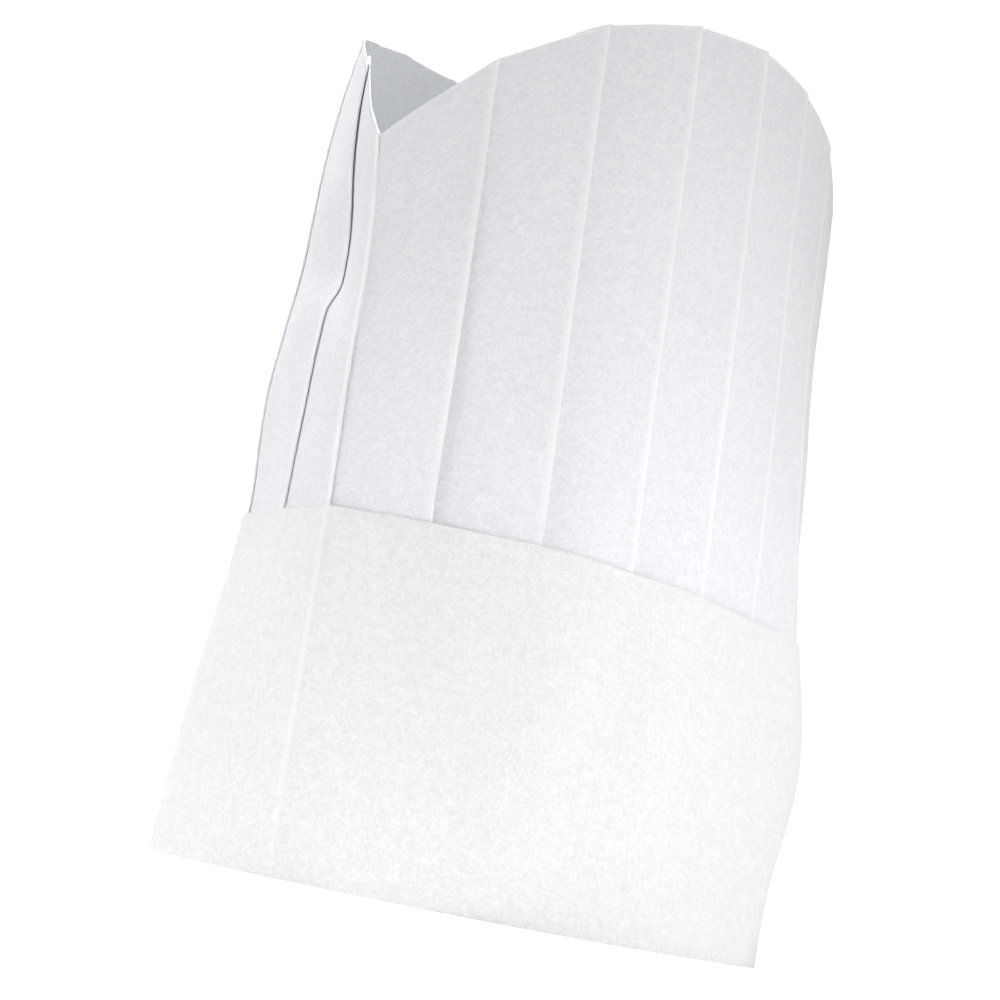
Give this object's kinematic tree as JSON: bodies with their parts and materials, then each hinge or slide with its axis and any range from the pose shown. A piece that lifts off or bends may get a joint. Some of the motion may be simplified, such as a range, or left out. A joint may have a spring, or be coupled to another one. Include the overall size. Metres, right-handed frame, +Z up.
{
  "type": "disposable chef hat",
  "caption": "Tall open-topped chef's toque of thin white non-woven sheet: a knife-pleated crown with an arched top edge in a wide smooth headband.",
  "frame": {"origin": "in the plane of the band's rim, below the middle of the hat's length and width", "axes": "+Z up from the rim to the open top; the front crease faces -X and -Y, the back crease +X and +Y"},
  "size_m": [0.2134, 0.2018, 0.3023],
  "materials": {
    "crown_sheet": "matte, thin non-woven sheet, finely mottled",
    "band_sheet": "matte, thicker non-woven sheet, finely mottled"
  },
  "bodies": {
    "root": {"crown": "crown_sheet", "band": "band_sheet"}
  },
  "joints": []
}
